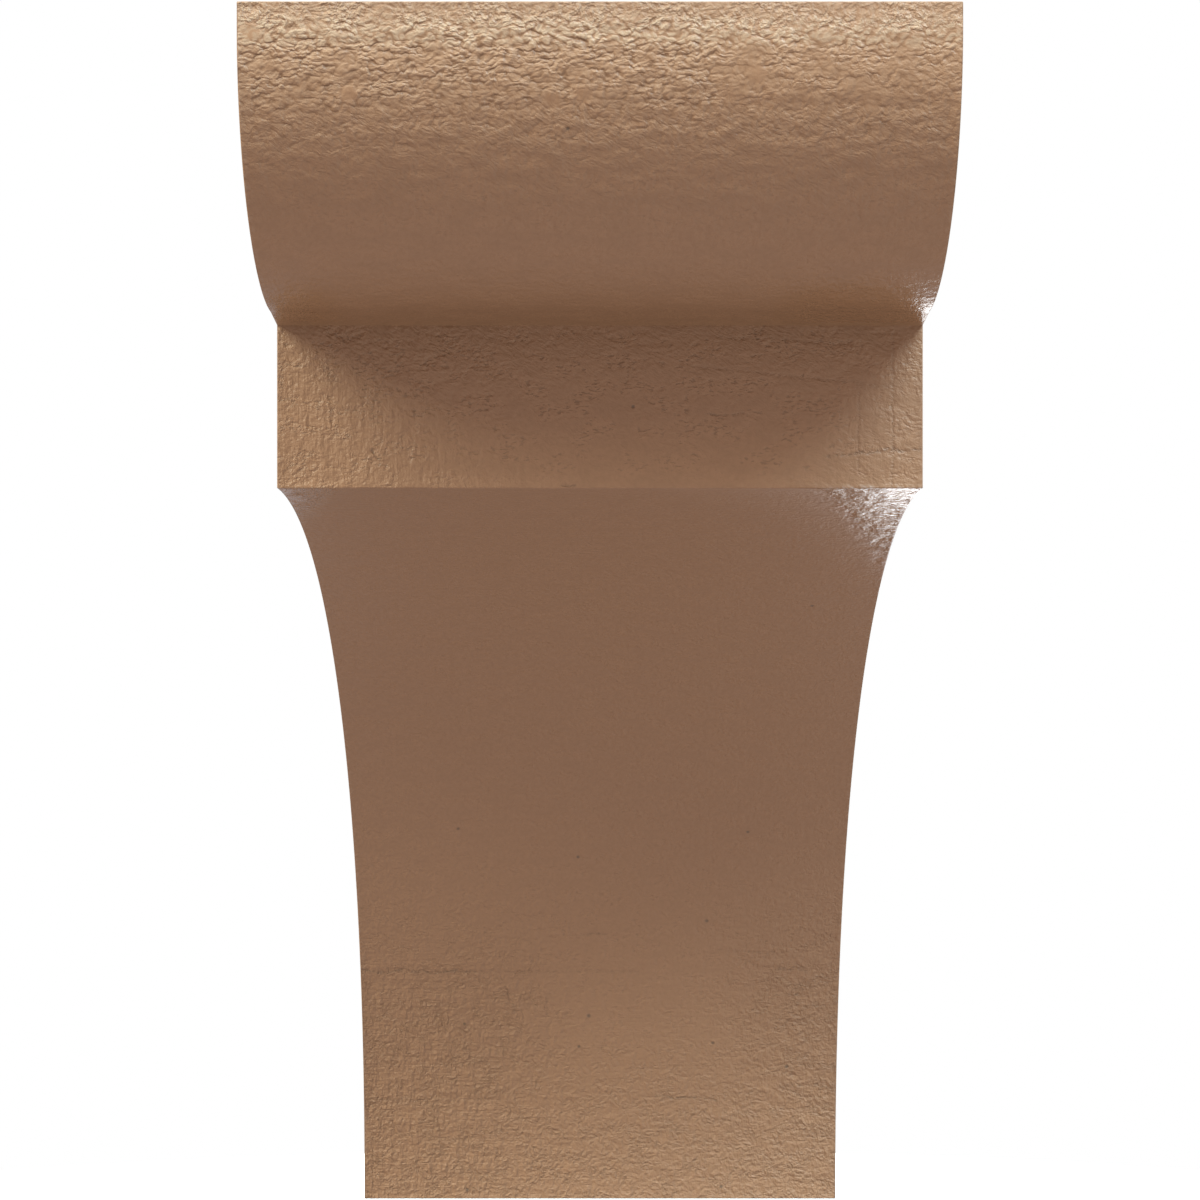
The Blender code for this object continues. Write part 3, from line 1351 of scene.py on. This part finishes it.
    def _down_skin(self, out: np.ndarray, up: np.ndarray, path: FrontPath) -> np.ndarray:
        """How far down the skin each point lies.

        Args:
            out: How far each point stands out from the wall.
            up: Its height.
            path: The front's line.

        Returns:
            The distances in metres, or -1 where a point isn't on the front.
        """
        points, _, along, _ = path.arrays()
        down = np.full(len(out), -1.0)
        for start in range(0, len(out), POINTS_AT_ONCE):
            some = slice(start, start + POINTS_AT_ONCE)
            gaps = np.hypot(out[some, None] - points[None, :, 0], up[some, None] - points[None, :, 1])
            best = gaps.argmin(axis=1)
            near = np.take_along_axis(gaps, best[:, None], axis=1)[:, 0] < self.same_place
            down[some] = np.where(near, along[best], -1.0)
        return down

    def _store(self, mesh: bpy.types.Mesh, name: str, values: np.ndarray) -> None:
        """Keeps one value or one vector for each point.

        Args:
            mesh: The mesh.
            name: The name that the materials read it by.
            values: The values.
        """
        single = values.ndim == 1
        layer = mesh.attributes.new(name, "FLOAT" if single else "FLOAT_VECTOR", "POINT")
        layer.data.foreach_set("value" if single else "vector", values.astype(np.float32).ravel())

    def build(self, material: bpy.types.Material) -> bpy.types.Object:
        """Makes the skin and dresses it.

        Args:
            material: The finish.

        Returns:
            The finished object, with its place in its mesh.
        """
        path = FrontPath(self.size, self.steps)
        work = bmesh.new()
        work.loops.layers.uv.new(UV_NAME)
        work.faces.layers.int.new("rounded")
        self._wrap_patch(path).add_to(work)
        self._flat_patch(Plane.TOP, self.size.projection - self.size.arris, 1.0).add_to(work)
        self._flat_patch(Plane.FOOT, self.size.foot_depth - self.size.arris, -1.0).add_to(work)
        bmesh.ops.remove_doubles(work, verts=work.verts, dist=WELD)
        bmesh.ops.dissolve_degenerate(work, edges=work.edges, dist=WELD)
        self._close_back(work)
        bmesh.ops.recalc_face_normals(work, faces=work.faces)
        work.normal_update()
        self._mark_edges(work)
        mesh = bpy.data.meshes.new("corbel_skin")
        open_edges = sum(1 for edge in work.edges if not edge.is_manifold)
        work.to_mesh(mesh)
        work.free()
        self._set_masks(mesh, path)
        skin = bpy.data.objects.new("corbel_skin", mesh)
        bpy.context.scene.collection.objects.link(skin)
        mesh.materials.append(material)
        self.relief.cut(skin, material)
        triangles = sum(len(face.vertices) - 2 for face in skin.data.polygons)
        log.info("corbel_skin: %d triangles, %d open edges", triangles, open_edges)
        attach(skin, "root")
        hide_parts("corbel")
        return skin


@dataclass(frozen=True)
class Softbox:
    """A soft lamp, placed by its angles about the corbel: azimuth 0 is in front, and positive is right."""

    name: str
    azimuth: float
    elevation: float
    side: float
    watts: float
    distance: float = 2.5
    colour: tuple = (1.0, 1.0, 1.0)

    def make(self, target: Vector) -> bpy.types.Object:
        """Adds the lamp, facing the target.

        Args:
            target: The point that it faces.

        Returns:
            The lamp's object.
        """
        data = bpy.data.lights.new(self.name, "AREA")
        data.shape = "DISK"
        data.size = self.side
        data.energy = self.watts
        data.color = self.colour
        lamp = bpy.data.objects.new(self.name, data)
        turn, rise = math.radians(self.azimuth), math.radians(self.elevation)
        away = Vector((math.sin(turn) * math.cos(rise), -math.cos(turn) * math.cos(rise), math.sin(rise)))
        lamp.location = target + away * self.distance
        lamp.rotation_euler = away.to_track_quat("Z", "Y").to_euler()
        lamp.visible_camera = False
        bpy.context.scene.collection.objects.link(lamp)
        return lamp


@dataclass(frozen=True)
class Studio:
    """The white surroundings, the lamps, the floor and the camera."""

    backdrop_strength: float = 1.0
    ambient_strength: float = 0.825
    ambient_colour: tuple = (1.0, 0.955, 1.01, 1.0)
    floor_drop: float = 0.34
    floor_radius: float = 1.25
    floor_colour: tuple = (0.86, 0.86, 0.85, 1.0)
    flag_side: float = 2.4
    flag_place: tuple = (-1.32, 1.3, -0.2)
    flag_colour: tuple = (0.2, 0.14, 0.1, 1.0)
    camera_distance: float = 0.7956
    frame_side: int = 1200
    focal_pixels: float = 2341.0
    axis_row: float = 727.9
    axis_column: float = 599.95
    sensor: float = 36.0
    target: tuple = (0.0, -0.16, 0.0)
    lamps: tuple = (
        Softbox("left_softbox", -62.0, 42.0, 1.7, 118.0, colour=(1.0, 1.16, 1.03)),
        Softbox("right_softbox", 50.0, 56.0, 1.7, 117.0, colour=(1.0, 1.39, 1.59)),
        Softbox("low_right_softbox", 50.0, -35.0, 1.7, 8.0, colour=(1.0, 1.62, 1.72)),
        Softbox("right_rear", 162.0, -13.0, 1.2, 16.5, colour=(1.0, 1.03, 1.03)),
    )

    def make_world(self) -> None:
        """White behind the corbel, and a softer white on it."""
        world = bpy.data.worlds.new("white_room")
        bpy.context.scene.world = world
        world.use_nodes = True
        world.node_tree.nodes.clear()
        g = Graph(world.node_tree)
        seen = g.node("ShaderNodeLightPath").outputs["Is Camera Ray"]
        more = self.backdrop_strength - self.ambient_strength
        strength = g.math("MULTIPLY_ADD", seen, more, self.ambient_strength)
        tint = g.node("ShaderNodeMix", data_type="RGBA", blend_type="MIX")
        g.put(tint.inputs["Factor"], seen)
        g.put(tint.inputs["A"], self.ambient_colour)
        g.put(tint.inputs["B"], (1.0, 1.0, 1.0, 1.0))
        background = g.node("ShaderNodeBackground")
        g.put(background.inputs["Color"], tint.outputs["Result"])
        g.put(background.inputs["Strength"], strength)
        output = g.node("ShaderNodeOutputWorld")
        g.put(output.inputs["Surface"], background.outputs["Background"])

    def _paint(
        self, name: str, colour: tuple, per_metre: float, seed: float, roughness: tuple
    ) -> bpy.types.Material:
        """A matt paint whose sheen wanders a little.

        Args:
            name: Its name.
            colour: Its colour.
            per_metre: How many patches of sheen there are in a metre.
            seed: The number that picks its noise out from the others.
            roughness: The least and the most rough.

        Returns:
            The material.
        """
        paint = bpy.data.materials.new(name)
        paint.use_nodes = True
        g = Graph(paint.node_tree)
        shader = paint.node_tree.nodes["Principled BSDF"]
        shade = g.noise(g.scaled(g.node("ShaderNodeTexCoord").outputs["Object"], per_metre), seed)
        g.put(shader.inputs["Roughness"], g.eased(shade, 0.3, 0.7, *roughness))
        shader.inputs["Base Color"].default_value = colour
        return paint

    def make_floor(self) -> bpy.types.Object:
        """A pale round table top well below the foot, out of the photograph's frame.

        Returns:
            The floor.
        """
        mesh = bpy.data.meshes.new("pale_floor")
        work = bmesh.new()
        bmesh.ops.create_circle(work, cap_ends=True, radius=self.floor_radius, segments=96)
        bmesh.ops.translate(work, verts=work.verts, vec=(0.0, self.target[1], -self.floor_drop))
        work.to_mesh(mesh)
        work.free()
        floor = bpy.data.objects.new("pale_floor", mesh)
        mesh.materials.append(self._paint("pale_floor_paint", self.floor_colour, 3.0, 2.0, (0.55, 0.7)))
        bpy.context.scene.collection.objects.link(floor)
        floor.visible_diffuse = False
        floor.visible_glossy = False
        floor.visible_shadow = False
        return floor

    def make_flag(self) -> bpy.types.Object:
        """A dark card behind and to the left, which only the reflections show, so that side stays matt.

        Returns:
            The card.
        """
        mesh = bpy.data.meshes.new("rear_flag")
        work = bmesh.new()
        bmesh.ops.create_grid(work, x_segments=1, y_segments=1, size=self.flag_side / 2)
        work.to_mesh(mesh)
        work.free()
        flag = bpy.data.objects.new("rear_flag", mesh)
        flag.location = self.flag_place
        away = Vector(self.flag_place) - Vector(self.target)
        flag.rotation_euler = away.to_track_quat("Z", "Y").to_euler()
        mesh.materials.append(self._paint("rear_flag_cloth", self.flag_colour, 40.0, 4.0, (0.8, 0.95)))
        bpy.context.scene.collection.objects.link(flag)
        flag.visible_camera = False
        flag.visible_diffuse = False
        flag.visible_shadow = False
        return flag

    def make_camera(self) -> bpy.types.Object:
        """A level camera at the height of the corbel's middle, with the frame off its axis.

        Returns:
            The camera.
        """
        data = bpy.data.cameras.new("photo_camera")
        data.sensor_fit = "HORIZONTAL"
        data.sensor_width = self.sensor
        data.lens = self.focal_pixels / self.frame_side * self.sensor
        data.shift_x = (self.frame_side / 2 - self.axis_column) / self.frame_side
        data.shift_y = (self.axis_row - self.frame_side / 2) / self.frame_side
        data.clip_start = 0.01
        camera = bpy.data.objects.new("photo_camera", data)
        camera.location = (0.0, -self.camera_distance, 0.0)
        camera.rotation_euler = (math.pi / 2, 0.0, 0.0)
        bpy.context.scene.collection.objects.link(camera)
        bpy.context.scene.camera = camera
        return camera

    def build(self) -> None:
        """Sets up the whole studio."""
        self.make_world()
        self.make_floor()
        self.make_flag()
        for softbox in self.lamps:
            softbox.make(Vector(self.target))
        self.make_camera()
        bpy.context.scene.view_settings.view_transform = "Standard"
        log.info("studio: %d lamps", len(self.lamps))


def write_sizes() -> None:
    """Brings the scene's data up to date."""
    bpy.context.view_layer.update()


def main() -> None:
    """Builds the studio and the corbel."""
    logging.basicConfig(level=logging.INFO, format="%(message)s", stream=sys.stdout)
    Studio().build()
    CorbelSkin().build(TanPrimer().make())
    write_sizes()


if __name__ == "__main__":
    main()
